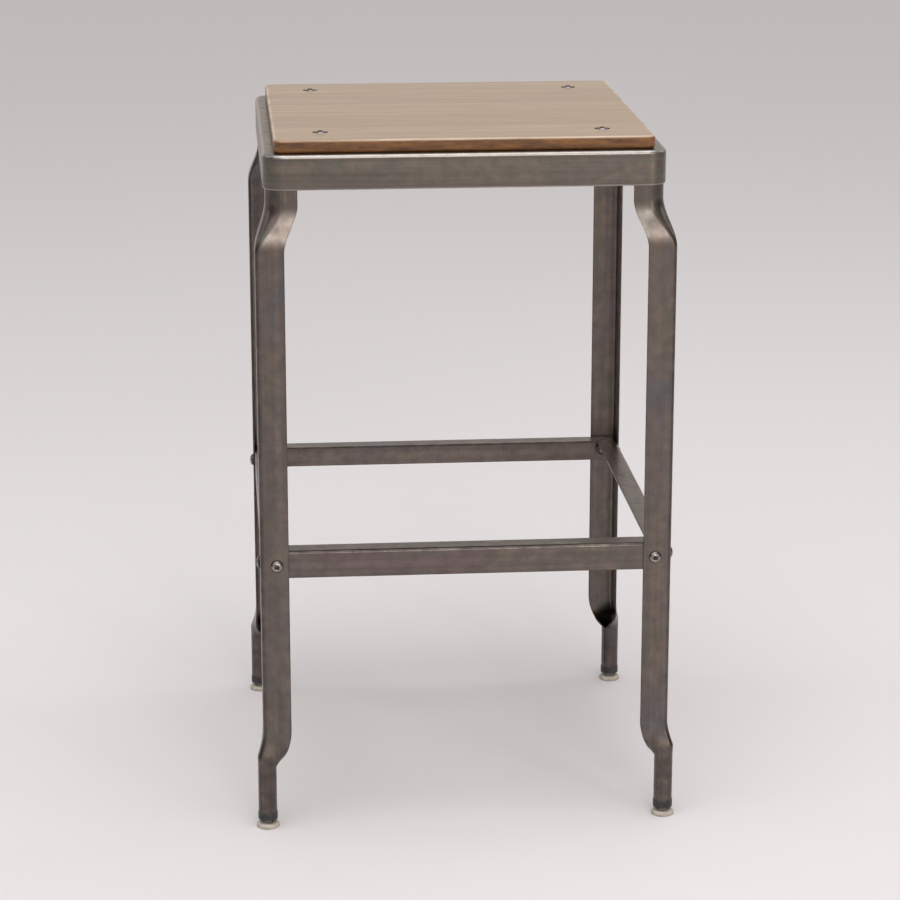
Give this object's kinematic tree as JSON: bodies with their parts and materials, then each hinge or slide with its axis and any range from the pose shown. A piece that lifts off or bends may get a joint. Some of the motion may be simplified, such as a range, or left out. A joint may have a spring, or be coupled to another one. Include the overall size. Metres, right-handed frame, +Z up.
{
  "type": "bar stool",
  "caption": "Backless bar stool: square wooden seat on a pressed steel pan, swan-necked sheet steel legs rolled to tubes at the feet, a bolted footrest ring and levelling feet.",
  "frame": {"origin": "on the floor, at the middle of the four feet", "axes": "+Z up; the front faces -Y; +X is to the right seen from the front"},
  "size_m": [0.4656, 0.4656, 0.7636],
  "materials": {
    "seat_wood": "worn satin, pale tan top and darker amber edges",
    "frame_steel": "brushed, patinated gunmetal under a clear satin lacquer",
    "fastener_steel": "dark oxide",
    "stem_steel": "bright zinc",
    "plug_plastic": "black moulded",
    "pad_plastic": "off-white moulded"
  },
  "bodies": {
    "frame": {"seat_board_1": "seat_wood", "seat_board_2": "seat_wood", "seat_board_3": "seat_wood", "seat_board_4": "seat_wood", "seat_board_5": "seat_wood", "seat_pan": "frame_steel", "corner_plate_front_left": "frame_steel", "corner_plate_front_right": "frame_steel", "corner_plate_rear_left": "frame_steel", "corner_plate_rear_right": "frame_steel", "leg_front_left": "frame_steel", "leg_front_right": "frame_steel", "leg_rear_left": "frame_steel", "leg_rear_right": "frame_steel", "footrest_rail_front": "frame_steel", "footrest_rail_rear": "frame_steel", "footrest_rail_left": "frame_steel", "footrest_rail_right": "frame_steel", "seat_bolts": "fastener_steel", "seat_washers": "fastener_steel", "seat_nuts": "fastener_steel", "rail_bolts": "fastener_steel", "rail_nuts": "fastener_steel", "foot_plug_front_left": "plug_plastic", "foot_plug_front_right": "plug_plastic", "foot_plug_rear_left": "plug_plastic", "foot_plug_rear_right": "plug_plastic"},
    "pad_front_left": {"floor_pad_front_left": "pad_plastic"},
    "stem_front_left": {"level_stem_front_left": "stem_steel"},
    "pad_front_right": {"floor_pad_front_right": "pad_plastic"},
    "stem_front_right": {"level_stem_front_right": "stem_steel"},
    "pad_rear_left": {"floor_pad_rear_left": "pad_plastic"},
    "stem_rear_left": {"level_stem_rear_left": "stem_steel"},
    "pad_rear_right": {"floor_pad_rear_right": "pad_plastic"},
    "stem_rear_right": {"level_stem_rear_right": "stem_steel"}
  },
  "joints": [
    {"name": "foot_height_front_left", "type": "slide", "parent": "frame", "child": "pad_front_left", "axis": [0, 0, -1], "range_m": [0, 0.01]},
    {"name": "stem_turn_front_left", "type": "hinge", "parent": "pad_front_left", "child": "stem_front_left", "pos_m": [-0.2203, -0.2203, 0.01], "axis": [0, 0, -1], "range_deg": [0, 2880]},
    {"name": "foot_height_front_right", "type": "slide", "parent": "frame", "child": "pad_front_right", "axis": [0, 0, -1], "range_m": [0, 0.01]},
    {"name": "stem_turn_front_right", "type": "hinge", "parent": "pad_front_right", "child": "stem_front_right", "pos_m": [0.2203, -0.2203, 0.01], "axis": [0, 0, -1], "range_deg": [0, 2880]},
    {"name": "foot_height_rear_left", "type": "slide", "parent": "frame", "child": "pad_rear_left", "axis": [0, 0, -1], "range_m": [0, 0.01]},
    {"name": "stem_turn_rear_left", "type": "hinge", "parent": "pad_rear_left", "child": "stem_rear_left", "pos_m": [-0.2203, 0.2203, 0.01], "axis": [0, 0, -1], "range_deg": [0, 2880]},
    {"name": "foot_height_rear_right", "type": "slide", "parent": "frame", "child": "pad_rear_right", "axis": [0, 0, -1], "range_m": [0, 0.01]},
    {"name": "stem_turn_rear_right", "type": "hinge", "parent": "pad_rear_right", "child": "stem_rear_right", "pos_m": [0.2203, 0.2203, 0.01], "axis": [0, 0, -1], "range_deg": [0, 2880]}
  ],
  "couplings": [
    {"joint": "foot_height_front_left", "follows": "stem_turn_front_left", "m_per_rad": 0.00019894},
    {"joint": "foot_height_front_right", "follows": "stem_turn_front_right", "m_per_rad": 0.00019894},
    {"joint": "foot_height_rear_left", "follows": "stem_turn_rear_left", "m_per_rad": 0.00019894},
    {"joint": "foot_height_rear_right", "follows": "stem_turn_rear_right", "m_per_rad": 0.00019894}
  ]
}
